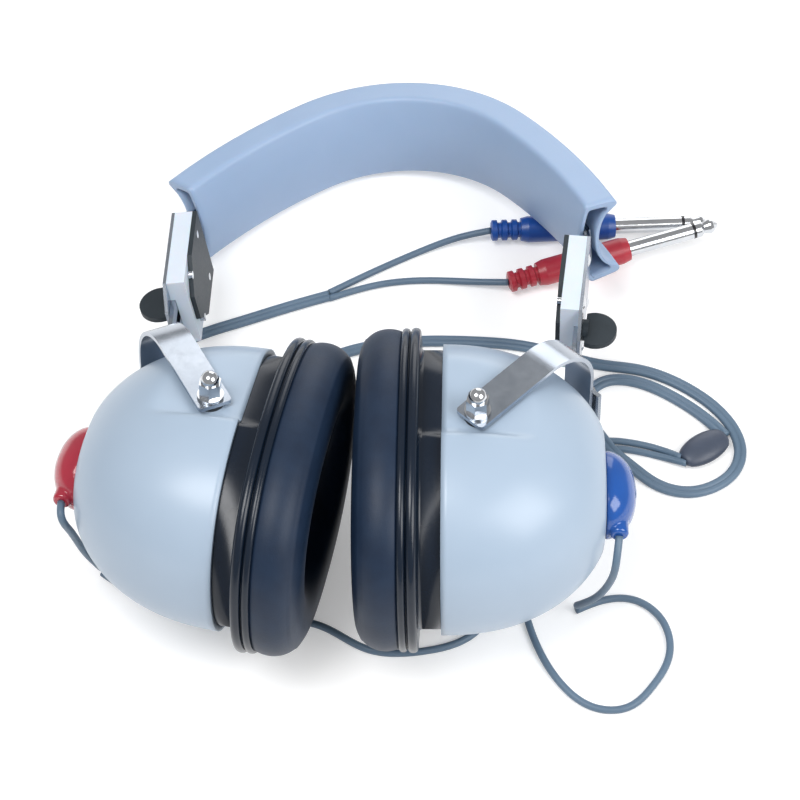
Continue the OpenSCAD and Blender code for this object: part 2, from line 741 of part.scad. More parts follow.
// ---- cords ---------------------------------------------------------------

module lead(route) {
    color(cord_grey) placed() tube(route, lead_d, lead_d);
}

module drop(s) {
    color(cord_grey) placed() tube([for (p = drop_route[s]) from_cup(s, p)], lead_d, lead_d, [1, 0.3, 0]);
}

// the point on the table below the end of a cup's own lead
function under_drop(s) =
    let (p = from_cup(s, drop_route[s][len(drop_route[s]) - 1]))
    [p.x, p.y, red_route[0].z];

// point in the bead's own frame: x along it, y across it
function from_bead(x, y) = bead_at + spin_z([x, y, 0], bead_turn);

module y_bead() {
    rows = [for (x = [-1, -0.85, -0.55, -0.2, 0.2, 0.55, 0.85, 1])
        let (k = sqrt(1 - 0.72 * x * x))
        [bead_half.x * x, bead_half.y * k, bead_half.z * k]];
    color(cord_grey) placed() translate(bead_at) rotate([0, 0, bead_turn]) oval_stack(rows, 24);
}

// ---- plugs: X towards the tip --------------------------------------------

module plug_frame(at, turn) {
    translate(at) rotate([0, 0, turn[0]]) rotate([0, 90 - turn[1], 0]) children();
}

// turned piece from points of [radius, distance from the boot's cord end]
module turned(points) {
    rotate_extrude() polygon(points);
}

module plug_boot(at, turn, tint) {
    r = boot_d / 2;
    relief = 3 * rib_pitch;
    ribs = [for (i = [0 : 2], p = [[3.1, 0], [4.2, 0.5], [4.2, 2.4], [3.1, 2.9]]) [p[0], rib_pitch * i + p[1]]];
    color(tint) placed() plug_frame(at, turn) difference() {
        turned(concat([[0, 0]], ribs, [[3.1, relief], [4.6, relief], [r, relief + 3],
            [r, boot_len - 3], [r - 0.7, boot_len], [0, boot_len]]));
        translate([0, 0, boot_len - sleeve_in]) cylinder(d = stem_d + 2 * press_gap, h = sleeve_in + 1);
    }
}

module plug_sleeve(at, turn) {
    end = tip_start - collar_t;
    color(steel) placed() plug_frame(at, turn) translate([0, 0, boot_len]) difference() {
        union() {
            translate([0, 0, -sleeve_in]) cylinder(d = stem_d, h = sleeve_in);
            cylinder(d = plug_d, h = end);
        }
        translate([0, 0, end - core_len]) cylinder(d = core_d + 2 * press_gap, h = core_len + 1);
    }
}

module plug_insulator(at, turn) {
    end = tip_start - collar_t;
    color(black) placed() plug_frame(at, turn) translate([0, 0, boot_len]) difference() {
        union() {
            translate([0, 0, end - core_len]) cylinder(d = core_d, h = core_len);
            translate([0, 0, end]) cylinder(d = plug_d, h = collar_t);
        }
        translate([0, 0, end - core_len - 1]) cylinder(d = core_d - 1.2, h = core_len + collar_t + 2);
    }
}

module plug_tip(at, turn) {
    r = plug_d / 2;
    core = core_d / 2 - 0.6 - press_gap;
    color(steel) placed() plug_frame(at, turn) translate([0, 0, boot_len])
        turned([[0, tip_start - collar_t - core_len + 1], [core, tip_start - collar_t - core_len + 1],
            [core, tip_start], [r, tip_start], [r, tip_start + 2.2], [r - 1, tip_start + 3.6],
            [r - 0.2, tip_start + 6.2], [r - 0.6, tip_start + 7.4], [0.8, plug_len - 0.4], [0, plug_len]]);
}

// ---- named pieces --------------------------------------------------------

module left_end_plate() { end_plate(0); }
module right_end_plate() { end_plate(1); }
module left_clamp_block() { clamp_block(0); }
module right_clamp_block() { clamp_block(1); }
module left_inner_plate() { inner_plate(0); }
module right_inner_plate() { inner_plate(1); }
module left_clamp_rivets() { clamp_rivets(0); }
module right_clamp_rivets() { clamp_rivets(1); }
module left_thumb_screw() { thumb_screw(0); }
module right_thumb_screw() { thumb_screw(1); }
module left_slider() { slider(0); }
module right_slider() { slider(1); }
module left_swivel_bolt() { swivel_bolt(0); }
module right_swivel_bolt() { swivel_bolt(1); }
module left_swivel_nut() { swivel_nut(0); }
module right_swivel_nut() { swivel_nut(1); }
module left_yoke() { yoke(0); }
module right_yoke() { yoke(1); }
module left_cup_shell() { cup_shell(0); }
module right_cup_shell() { cup_shell(1); }
module left_cup_rim() { cup_rim(0); }
module right_cup_rim() { cup_rim(1); }
module left_foam_liner() { foam_liner(0); }
module right_foam_liner() { foam_liner(1); }
module left_ear_cushion() { ear_cushion(0); }
module right_ear_cushion() { ear_cushion(1); }
module left_baffle() { baffle(0); }
module right_baffle() { baffle(1); }
module left_earphone() { earphone(0); }
module right_earphone() { earphone(1); }
module left_pivot_studs() { pivot_studs(0); }
module right_pivot_studs() { pivot_studs(1); }
module left_pivot_spacers() { pivot_spacers(0); }
module right_pivot_spacers() { pivot_spacers(1); }
module left_pivot_nuts() { pivot_nuts(0); }
module right_pivot_nuts() { pivot_nuts(1); }
module left_acorn_nuts() { acorn_nuts(0); }
module right_acorn_nuts() { acorn_nuts(1); }
module red_cap() { cable_cap(0, red); }
module blue_cap() { cable_cap(1, blue); }
module red_drop() { drop(0); }
module blue_drop() { drop(1); }
module red_lead() { lead(concat([from_bead(-bead_half.x, 1.6)], red_route, [under_drop(0)])); }
module blue_lead() { lead(concat([from_bead(-bead_half.x, -1.6)], blue_route, [under_drop(1)])); }
module main_cord() {
    color(cord_grey) placed() tube(concat(main_route, [from_bead(bead_half.x, 0)]), twin_w, lead_d);
}
module red_tail() { lead(concat(red_tail_route, [red_plug_at])); }
module blue_tail() { lead(concat(blue_tail_route, [blue_plug_at])); }
module red_boot() { plug_boot(red_plug_at, red_plug_turn, red); }
module blue_boot() { plug_boot(blue_plug_at, blue_plug_turn, blue); }
module red_sleeve() { plug_sleeve(red_plug_at, red_plug_turn); }
module blue_sleeve() { plug_sleeve(blue_plug_at, blue_plug_turn); }
module red_insulator() { plug_insulator(red_plug_at, red_plug_turn); }
module blue_insulator() { plug_insulator(blue_plug_at, blue_plug_turn); }
module red_tip() { plug_tip(red_plug_at, red_plug_turn); }
module blue_tip() { plug_tip(blue_plug_at, blue_plug_turn); }

headband_pad();
headband_spring();
spring_rivets();
left_end_plate();
right_end_plate();
left_clamp_block();
right_clamp_block();
left_inner_plate();
right_inner_plate();
left_clamp_rivets();
right_clamp_rivets();
left_thumb_screw();
right_thumb_screw();
left_slider();
right_slider();
left_swivel_bolt();
right_swivel_bolt();
left_swivel_nut();
right_swivel_nut();
left_yoke();
right_yoke();
left_cup_shell();
right_cup_shell();
left_cup_rim();
right_cup_rim();
left_foam_liner();
right_foam_liner();
left_ear_cushion();
right_ear_cushion();
left_baffle();
right_baffle();
left_earphone();
right_earphone();
left_pivot_studs();
right_pivot_studs();
left_pivot_spacers();
right_pivot_spacers();
left_pivot_nuts();
right_pivot_nuts();
left_acorn_nuts();
right_acorn_nuts();
red_cap();
blue_cap();
red_drop();
blue_drop();
red_lead();
blue_lead();
main_cord();
y_bead();
red_tail();
blue_tail();
red_boot();
blue_boot();
red_sleeve();
blue_sleeve();
red_insulator();
blue_insulator();
red_tip();
blue_tip();
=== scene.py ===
# %% [markdown]
# # An audiometric headset, dressed for the camera
#
# The object is a pair of noise excluding ear cups on strap yokes, a hollow vinyl
# headband pad over a spring strip, and two signal leads that join into a twin cord
# and end in two plugs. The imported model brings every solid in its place. This
# script keeps the metal pieces and gives them better finishes, and it draws the
# soft and moulded pieces again as smooth surfaces.

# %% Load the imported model
import bpy
import numpy as np
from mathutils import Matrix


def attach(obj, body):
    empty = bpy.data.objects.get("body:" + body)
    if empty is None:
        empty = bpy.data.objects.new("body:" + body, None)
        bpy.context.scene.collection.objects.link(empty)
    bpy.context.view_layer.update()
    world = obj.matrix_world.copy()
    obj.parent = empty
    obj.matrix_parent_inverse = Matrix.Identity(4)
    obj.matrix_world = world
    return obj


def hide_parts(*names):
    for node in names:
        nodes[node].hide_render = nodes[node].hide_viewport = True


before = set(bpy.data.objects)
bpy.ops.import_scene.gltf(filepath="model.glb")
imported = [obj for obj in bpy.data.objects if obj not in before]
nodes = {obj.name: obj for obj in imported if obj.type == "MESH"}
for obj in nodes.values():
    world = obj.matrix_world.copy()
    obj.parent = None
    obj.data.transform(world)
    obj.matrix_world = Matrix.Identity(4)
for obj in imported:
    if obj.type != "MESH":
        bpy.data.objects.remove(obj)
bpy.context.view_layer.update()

# %% [markdown]
# ## The camera
#
# The photograph was taken from the cups' side, 56 degrees above the table, through
# a long lens. The lens and distance were found from the plugs' known diameter and
# the ovals of the two cups. Lengths here are in millimetres in the part's own
# drawing frame, and `to_row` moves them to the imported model's origin and to metres.

# %% Camera
ORIGIN = np.array([-17.65, 58.48, 0.03])
CAMERA_TILT, CAMERA_AWAY, AIM_Y, LENS = np.radians(56), 850, 60, 99.45


def to_row(points):
    """Points in millimetres on the drawing, less the drawing's origin, in metres."""
    return (np.asarray(points, float) - ORIGIN) / 1000


camera_data = bpy.data.cameras.new("camera")
camera_data.sensor_width = 36
camera_data.lens = LENS
camera = bpy.data.objects.new("camera", camera_data)
camera.location = to_row([0, AIM_Y - CAMERA_AWAY * np.cos(CAMERA_TILT), CAMERA_AWAY * np.sin(CAMERA_TILT)])
camera.rotation_euler = (np.pi / 2 - CAMERA_TILT, 0, 0)
bpy.context.scene.collection.objects.link(camera)
bpy.context.scene.camera = camera
bpy.context.scene.view_settings.view_transform = "Standard"
print("camera at", [round(c, 4) for c in camera.location])

# %% [markdown]
# ## One way to make every surface
#
# Each new piece is a grid of points worked out as whole arrays. Neighbouring rows
# and columns are joined by four sided faces, and a row can close on itself, as round
# a cup or a cord. The signed volume tells whether the faces point outwards, so a
# mirrored piece is turned the right way before it becomes a mesh.

# %% Surface from a grid
def grid_faces(rows, columns, wrap_rows):
    """Corner numbers of the faces between neighbours, row by row."""
    i = np.arange(rows if wrap_rows else rows - 1)[:, None]
    j = np.arange(columns)[None, :]
    after_i, after_j = (i + 1) % rows, (j + 1) % columns
    corners = [i * columns + j, i * columns + after_j, after_i * columns + after_j, after_i * columns + j]
    return np.stack([c + 0 * i + 0 * j for c in corners], -1).reshape(-1, 4)


def surface(name, grid, wrap_rows=False):
    """A mesh object through a grid of points in metres. Open ends are closed by one
    face each. The map has the column as its first coordinate, from 0 to 1, and as
    its second the distance along the rows, in metres."""
    rows, columns = grid.shape[:2]
    points = grid.reshape(-1, 3)
    faces = grid_faces(rows, columns, wrap_rows)
    middle = points - points.mean(0)
    first, second, third, fourth = (middle[faces[:, k]] for k in range(4))
    volume = (np.cross(first, second) * third + np.cross(first, third) * fourth).sum() / 6
    caps = []
    if not wrap_rows:
        caps = [list(range(columns))[::-1], list(range((rows - 1) * columns, rows * columns))]
    if volume < 0:
        faces = faces[:, ::-1]
        caps = [cap[::-1] for cap in caps]
    mesh = bpy.data.meshes.new(name)
    mesh.from_pydata(points, [], faces.tolist() + caps)
    steps = np.linalg.norm(np.diff(grid.mean(1), axis=0), axis=1)
    along = np.concatenate([[0], np.cumsum(steps)])
    along = np.append(along, along[-1] + 0.001)
    across = np.tile(np.arange(columns), len(faces) // columns)
    down = np.repeat(np.arange(len(faces) // columns), columns)
    u = np.stack([across, across + 1, across + 1, across], -1) / columns
    v = np.stack([along[down], along[down], along[down + 1], along[down + 1]], -1)
    if volume < 0:
        u, v = u[:, ::-1], v[:, ::-1]
    flat = np.stack([u, v], -1).reshape(-1)
    layer = mesh.uv_layers.new(name="surface")
    flat = np.concatenate([flat, np.zeros(2 * sum(len(cap) for cap in caps))])
    layer.data.foreach_set("uv", flat)
    mesh.shade_smooth()
    piece = bpy.data.objects.new(name, mesh)
    bpy.context.scene.collection.objects.link(piece)
    print(name, len(faces), "faces,", round(abs(volume) * 1e9), "mm3")
    return piece


def dress(piece, body, slot, finish, *replaced):
    """Puts a finish on a piece and says what it rides on and which nodes it stands for."""
    piece.data.materials.clear()
    piece.data.materials.append(finish)
    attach(piece, body)
    if replaced:
        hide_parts(*replaced)
    return piece


# %% [markdown]
# ## Finishes
#
# A finish is one Principled shader with constant values on its own sockets, plus
# small scale detail from noise: a bump for grain, scratches or moulding ripple, and
# a slight change of colour and gloss. Object coordinates are in metres, so a scale
# of 1000 gives a pattern of about one millimetre.

# %% Finish builder
SOCKETS = {"metallic": "Metallic", "coat": "Coat Weight", "coat_roughness": "Coat Roughness",
           "subsurface": "Subsurface Weight", "subsurface_scale": "Subsurface Scale",
           "specular": "Specular IOR Level"}
GLOSS_CHANGE = 0.06


def finish(name, colour, roughness, scale, bump, second=None, patchy=6.0, stretch=(1, 1, 1), **sockets):
    """A Principled shader. A fine noise of the given scale gives a bump in metres and
    changes the roughness, and a broad noise mixes the colour with a second one."""
    material = bpy.data.materials.new(name)
    material.use_nodes = True
    tree = material.node_tree
    shader = tree.nodes["Principled BSDF"]
    link = tree.links.new
    shader.inputs["Base Color"].default_value = (*colour, 1)
    shader.inputs["Roughness"].default_value = roughness
    for socket, value in sockets.items():
        shader.inputs[SOCKETS[socket]].default_value = value
    place = tree.nodes.new("ShaderNodeTexCoord")
    mapping = tree.nodes.new("ShaderNodeMapping")
    mapping.inputs["Scale"].default_value = stretch
    link(place.outputs["Object"], mapping.inputs["Vector"])
    fine = tree.nodes.new("ShaderNodeTexNoise")
    fine.inputs["Scale"].default_value = scale
    fine.inputs["Detail"].default_value = 4
    link(mapping.outputs["Vector"], fine.inputs["Vector"])
    broad = tree.nodes.new("ShaderNodeTexNoise")
    broad.inputs["Scale"].default_value = scale / patchy
    broad.inputs["Detail"].default_value = 3
    link(mapping.outputs["Vector"], broad.inputs["Vector"])
    tint = tree.nodes.new("ShaderNodeValToRGB")
    second = second or tuple(0.86 * c for c in colour)
    tint.color_ramp.elements[0].position = 0.3
    tint.color_ramp.elements[0].color = (*second, 1)
    tint.color_ramp.elements[1].position = 0.62
    tint.color_ramp.elements[1].color = (*colour, 1)
    link(broad.outputs["Fac"], tint.inputs["Fac"])
    link(tint.outputs["Color"], shader.inputs["Base Color"])
    shine = tree.nodes.new("ShaderNodeMapRange")
    shine.inputs["To Min"].default_value = max(0.02, roughness - GLOSS_CHANGE)
    shine.inputs["To Max"].default_value = min(1.0, roughness + GLOSS_CHANGE)
    link(fine.outputs["Fac"], shine.inputs["Value"])
    link(shine.outputs["Result"], shader.inputs["Roughness"])
    relief = tree.nodes.new("ShaderNodeBump")
    relief.inputs["Strength"].default_value = 1
    relief.inputs["Distance"].default_value = bump
    link(fine.outputs["Fac"], relief.inputs["Height"])
    link(relief.outputs["Normal"], shader.inputs["Normal"])
    return material


# %% [markdown]
# ## The finishes of this headset
#
# The pad is pale blue vinyl with a little light under its skin, and the shells are
# moulded plastic under a thin clear coat. The straps are rolled metal strip, so their
# noise is stretched into faint lines. The cushions are darker and duller than the
# glossy flange beside them. Each colour was chosen against the photograph.

# %% The finishes of this headset
pad_vinyl = finish("pad_vinyl", (0.31, 0.42, 0.6), 0.42, 900, 0.000012, (0.295, 0.405, 0.585), 22,
                   subsurface=0.06, subsurface_scale=0.002)
shell_plastic = finish("shell_plastic", (0.36, 0.45, 0.56), 0.36, 1400, 0.000012, (0.345, 0.435, 0.545), 40,
                       coat=0.15, coat_roughness=0.25)
flange_plastic = finish("flange_plastic", (0.004, 0.01, 0.022), 0.24, 700, 0.00001, patchy=10, specular=0.4)
cushion_vinyl = finish("cushion_vinyl", (0.009, 0.022, 0.05), 0.48, 1600, 0.00004, (0.007, 0.017, 0.04), 14,
                       specular=0.32)
nickel = finish("nickel", (0.58, 0.6, 0.63), 0.16, 500, 0.000004, (0.66, 0.67, 0.69), 5, metallic=1.0)
strap_nickel = finish("strap_nickel", (0.45, 0.49, 0.55), 0.22, 300, 0.000006, (0.39, 0.43, 0.49), 4,
                      stretch=(1, 1, 0.25), metallic=1.0)
dark_enamel = finish("dark_enamel", (0.025, 0.034, 0.042), 0.48, 900, 0.00002, (0.02, 0.028, 0.035), 9,
                     specular=0.3)
nylon = finish("nylon", (0.66, 0.72, 0.8), 0.42, 800, 0.00001, (0.62, 0.69, 0.77), 20,
               subsurface=0.2, subsurface_scale=0.004)
red_plastic = finish("red_plastic", (0.42, 0.025, 0.05), 0.16, 500, 0.000006, patchy=8, coat=0.3)
blue_plastic = finish("blue_plastic", (0.01, 0.085, 0.36), 0.16, 500, 0.000006, patchy=8, coat=0.3)
red_boot_vinyl = finish("red_boot_vinyl", (0.48, 0.03, 0.05), 0.34, 1200, 0.00002, patchy=12)
blue_boot_vinyl = finish("blue_boot_vinyl", (0.01, 0.075, 0.34), 0.34, 1200, 0.00002, patchy=12)
cord_vinyl = finish("cord_vinyl", (0.11, 0.17, 0.24), 0.45, 1500, 0.00002, (0.095, 0.15, 0.215), 30)
bead_vinyl = finish("bead_vinyl", (0.055, 0.07, 0.105), 0.42, 900, 0.00003, patchy=10)
rubber = finish("rubber", (0.02, 0.022, 0.025), 0.6, 900, 0.00003)
foam = finish("foam", (0.06, 0.06, 0.065), 0.9, 700, 0.0006, (0.02, 0.02, 0.02), 3)
grille = finish("grille", (0.03, 0.032, 0.036), 0.5, 1500, 0.00003)
insulator_black = finish("insulator_black", (0.015, 0.015, 0.018), 0.22, 900, 0.00001)
print(len(bpy.data.materials), "finishes")

# %% [markdown]
# ## The cords
#
# The leads are soft round vinyl, the main cord is a flat twin of the same vinyl with
# a groove between its two cores. They lie loose on the table, so their routes are
# the drawing's own points, joined by a cubic spline, which bends as evenly as a
# cord does. The cross section is carried along the route on a frame that stays
# level, so the twin cord lies flat.

# %% Routes on the table
MAIN_ROUTE = [[-28, 109, 1.4], [-45, 103, 1.4], [-63, 96, 1.4], [-80, 89, 1.4], [-89, 81, 1.4],
    [-84, 70, 1.4], [-70, 66, 1.4], [-54, 68, 1.4], [-38, 74, 1.4], [-18, 82.5, 1.4],
    [28, 86.5, 1.4], [52, 83.5, 1.4], [78, 75.5, 1.4], [92, 73.2, 1.4], [102, 69.6, 1.4],
    [112, 63.4, 1.4], [121, 55, 1.4], [127, 45, 1.4], [128.6, 36, 1.4], [125.6, 27, 1.4],
    [118, 20.4, 1.4], [108, 17.6, 1.4], [96, 21, 1.4], [87, 28, 2.6], [80, 34, 4.3], [75, 42, 4.3],
    [71, 52, 1.8], [72, 61, 1.4], [79, 67.6, 1.4], [92.6, 67, 1.4], [104, 61, 1.4], [113, 54, 1.4],
    [119, 47.6, 1.8]]
RED_ROUTE = [[98, 36.6, 1.4], [87, 39.6, 1.4], [76, 40, 1.4], [64, 34, 1.4], [52, 20, 1.4],
    [42, 0, 1.4], [36, -26, 1.4], [25, -43, 1.4], [8, -49, 1.4], [-12, -48, 1.4], [-28, -39, 1.4],
    [-48, -36, 1.4], [-84, -32, 1.4]]
BLUE_ROUTE = [[98, 33.4, 1.4], [86, 36.4, 1.4], [77, 36.4, 1.4], [68, 30, 1.4], [58, 16, 1.4],
    [50, -5, 1.4], [45, -28, 1.4], [48, -44, 1.4], [57, -62, 1.4], [68, -71, 1.4], [80, -71, 1.4],
    [89, -63, 1.4], [96, -50, 1.4], [94, -36, 1.4], [84, -28, 1.4], [73, -28.5, 1.4]]
BLUE_TAIL = [[-28, 110.4, 1.4], [-12, 120, 1.4], [8, 131, 1.4], [24, 136.6, 3.6]]
RED_TAIL = [[-28, 107.6, 1.4], [-8, 114.5, 1.4], [14, 116.5, 1.4], [30, 114.6, 3]]
DROPS = [[[60.5, -20, 0], [59.3, -24.6, -0.4], [58.1, -21.5, -11.5], [56.3, -12.7, -32.1],
          [53.3, -5.5, -47.8]],
         [[60.5, -20, 0], [59.6, -26.2, -5.2], [58.8, -25.1, -17.2], [53.9, -20.3, -36.7],
          [48, -15.3, -48.9]]]
BLUE_PLUG, RED_PLUG = [36.5, 138, 6.2], [43, 112.5, 5.5]
BEAD, BEAD_TURN, BEAD_HALF = np.array([114.8, 36, 3.2]), 34, np.array([9.8, 6.2, 3.2])
LEAD_D, TWIN_W = 2.7, 4.8

# %% [markdown]
# ## Where the cups are
#
# The two cups are alike, but each lies at its own angle on the table. So a cup's
# pieces are drawn once, in the cup's own upright frame, and three turns carry them to
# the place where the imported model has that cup.

# %% Frames of the cups
PIVOT = np.array([[-65, -7.9, 50.6], [26.8, -10.4, 51.4]])
YOKE_TURN, YOKE_SLOPE, YOKE_ROLL = (26.8, -44.8), (-10, -3), (7.2, -4.8)
CUP_TILT = (36.8, 43.3)
PIVOT_OUT, PIVOT_UP = 12, 1.4
SIDES = ("left", "right")
print("cups at", PIVOT.tolist())


def spin(axis, degrees):
    """The matrix that turns a point about one axis."""
    c, s = np.cos(np.radians(degrees)), np.sin(np.radians(degrees))
    first, second = {"x": (1, 2), "y": (2, 0), "z": (0, 1)}[axis]
    matrix = np.eye(3)
    matrix[first, first] = matrix[second, second] = c
    matrix[first, second], matrix[second, first] = -s, s
    return matrix


def from_cup(side, points):
    """Points in a cup's own frame, X away from the head and Y up the cup, tilted on
    the pivots, mirrored for the left side and carried to the yoke's place."""
    local = (np.asarray(points, float) - [PIVOT_OUT, PIVOT_UP, 0]) @ spin("z", CUP_TILT[side]).T
    local = local * [1 if side else -1, 1, 1]
    yoke = spin("z", YOKE_TURN[side]) @ spin("x", YOKE_SLOPE[side]) @ spin("y", YOKE_ROLL[side])
    return to_row(local @ yoke.T + PIVOT[side])


def from_bead(x, y):
    """A point in the bead's own frame."""
    return BEAD + spin("z", BEAD_TURN) @ [x, y, 0]


# %% Smooth route and tube
def smooth_route(points, spacing=1.2):
    """A natural cubic spline through the points, over their distance apart. The second
    derivatives solve one linear system, and the line is read at even steps."""
    points = np.asarray(points, float)
    gaps = np.linalg.norm(np.diff(points, axis=0), axis=1)
    knots = np.concatenate([[0], np.cumsum(gaps)])
    n = len(points)
    system = np.eye(n)
    right = np.zeros((n, 3))
    inner = np.arange(1, n - 1)
    system[inner, inner - 1] = gaps[:-1]
    system[inner, inner] = 2 * (gaps[:-1] + gaps[1:])
    system[inner, inner + 1] = gaps[1:]
    slopes = np.diff(points, axis=0) / gaps[:, None]
    right[1:-1] = 6 * np.diff(slopes, axis=0)
    bend = np.linalg.solve(system, right)
    t = np.linspace(0, knots[-1], int(knots[-1] / spacing) + 2)
    k = np.clip(np.searchsorted(knots, t, side="right") - 1, 0, n - 2)
    h, before, after = gaps[k], (knots[k + 1] - t), (t - knots[k])
    h, before, after = h[:, None], before[:, None], after[:, None]
    return (bend[k] * before ** 3 + bend[k + 1] * after ** 3) / (6 * h) \
        + (points[k] / h - bend[k] * h / 6) * before + (points[k + 1] / h - bend[k + 1] * h / 6) * after


def tube(name, path, profile, across=(0, 0, 1)):
    """Carries a closed profile of [sideways, upwards] points along a path in metres.
    Sideways is square to the path and to the across direction."""
    ahead = np.gradient(path, axis=0)
    ahead /= np.linalg.norm(ahead, axis=1)[:, None]
    side = np.cross(ahead, across)
    side /= np.linalg.norm(side, axis=1)[:, None]
    up = np.cross(side, ahead)
    grid = path[:, None] + side[:, None] * profile[None, :, :1] + up[:, None] * profile[None, :, 1:]
    return surface(name, grid)


def length_of(path):
    """The sum of the steps along a path."""
    return float(np.linalg.norm(np.diff(path, axis=0), axis=1).sum())


# %% Sections of the lead and of the twin cord
angle = np.linspace(0, 2 * np.pi, 17)[:-1]
lead_profile = LEAD_D / 2000 * np.stack([np.cos(angle), np.sin(angle)], -1)
angle = np.linspace(0, 2 * np.pi, 41)[:-1]
core_out, core_r = TWIN_W / 2 - LEAD_D / 2, LEAD_D / 2
reach = core_out * abs(np.cos(angle)) + np.sqrt(core_r ** 2 - (core_out * np.sin(angle)) ** 2)
twin_profile = reach[:, None] / 1000 * np.stack([np.cos(angle), np.sin(angle)], -1)
print("lead", LEAD_D, "mm, twin cord", TWIN_W, "mm wide")

# %% [markdown]
# ## The bead
#
# Where the red and the blue lead join the twin cord, a moulded bead holds them. It is
# a flattened barrel that narrows to a collar at each end. One formula gives its half
# width along its length, which bends more evenly than a stack of cylinders would.

# %% The bead where the leads join
along = np.linspace(-1, 1, 41)
around = np.linspace(0, 2 * np.pi, 65)[:-1]
half = np.sqrt(np.clip(1 - 0.72 * along ** 2, 0, 1)) * np.clip((1.02 - abs(along)) / 0.09, 0.62, 1) ** 0.4
bead_grid = np.stack([np.broadcast_to(BEAD_HALF[0] * along[:, None], (41, 64)),
    BEAD_HALF[1] * half[:, None] * np.cos(around), BEAD_HALF[2] * half[:, None] * np.sin(around)], -1)
bead = surface("bead", to_row(BEAD + bead_grid @ spin("z", BEAD_TURN).T))
dress(bead, "headband", "cord", bead_vinyl, "y_bead")

# %% The cords' pieces
drop_paths = []
for side, cap in enumerate(("red", "blue")):
    path = smooth_route(from_cup(side, DROPS[side]) * 1000) / 1000
    drop_paths.append(path)
    piece = tube(cap + "_drop_cord", path, lead_profile, (1, 0.3, 0))
    dress(piece, SIDES[side] + "_cup", "cord", cord_vinyl, cap + "_drop")


def under_drop(side):
    """The point on the table below the end of a cup's own lead, on the drawing."""
    end = drop_paths[side][-1] * 1000 + ORIGIN
    return [end[0], end[1], 1.4]


red_path = to_row(smooth_route([from_bead(-BEAD_HALF[0], 1.6), *RED_ROUTE, under_drop(0)]))
blue_path = to_row(smooth_route([from_bead(-BEAD_HALF[0], -1.6), *BLUE_ROUTE, under_drop(1)]))
main_path = to_row(smooth_route([*MAIN_ROUTE, from_bead(BEAD_HALF[0], 0)]))
for name, path, profile, width, end, with_pieces in (
        ("red_lead", red_path[::-1], lead_profile, LEAD_D, "fitting", [bead]),
        ("blue_lead", blue_path[::-1], lead_profile, LEAD_D, "fitting", [bead]),
        ("main_cord", main_path, twin_profile, TWIN_W, "fitting", [bead]),
        ("red_tail", to_row(smooth_route([*RED_TAIL, RED_PLUG])), lead_profile, LEAD_D, "plug",
         [nodes["red_" + n] for n in ("boot", "sleeve", "insulator", "tip")]),
        ("blue_tail", to_row(smooth_route([*BLUE_TAIL, BLUE_PLUG])), lead_profile, LEAD_D, "plug",
         [nodes["blue_" + n] for n in ("boot", "sleeve", "insulator", "tip")])):
    piece = tube(name + "_vinyl", path, profile)
    dress(piece, "headband", "cord", cord_vinyl, name)
    print(name, "is", round(length_of(path), 3), "m long")

# %% [markdown]
# ## The cup shells
#
# Each shell is a deep moulded dome. Its rows are ovals that shrink towards the
# crown by the rule of a squared off ellipse. At the front and back the mould has a
# flat seat for the yoke: a soft minimum presses the surface down to the seat, and
# below the pivots the seat runs out in a rounded step, as moulded parts do.

# %% Shell surface
CUP_A, CUP_B, CUP_H, CUP_WALL = 51.6, 42.6, 60, 2.6
SEAT_Z, SEAT_LOW, LAND_X = 37.6, -7.5, 56
DOME_E, OVAL_E = 2.2, 2.3
STEP, STEP_RISE, SEAT_BLEND, LAND_BLEND = 2.4, 14, 0.9, 0.8
OUTER_ROWS, LIP_IN = 60, 0.5


def oval(a, b, count):
    """A squared off ellipse: the cosine and sine to the power 2 / 2.3, times the half sizes."""
    t = np.linspace(0, 2 * np.pi, count + 1)[:-1]
    c, s = np.cos(t), np.sin(t)
    power = 2 / OVAL_E
    unit = np.stack([np.sign(c) * abs(c) ** power, np.sign(s) * abs(s) ** power], -1)
    return unit * np.stack([np.atleast_1d(a), np.atleast_1d(b)], -1)[..., None, :]


def soft_min(a, b, width):
    """The smaller of two values, rounded where they cross."""
    return 0.5 * (a + b - np.sqrt((a - b) ** 2 + width ** 2))


def ovals_along(x, a, b, count=192):
    """Rows of ovals at the places x along the cup's axis."""
    ring = oval(a, b, count)
    place = np.broadcast_to(np.asarray(x, float)[:, None, None], ring.shape[:2] + (1,))
    return np.concatenate([place, ring], -1)


def pressed(points, seat):
    """The front and back are pressed flat at the height of the seat above the line
    SEAT_LOW. Below it the limit rises by s * s * (3 - 2 * s) over a short step."""
    x, y, z = points[..., 0], points[..., 1], points[..., 2]
    share = np.clip((SEAT_LOW - y) / STEP + 0.5, 0, 1)
    limit = seat + STEP_RISE * share ** 2 * (3 - 2 * share)
    return np.stack([x, y, np.sign(z) * soft_min(abs(z), limit, SEAT_BLEND)], -1)


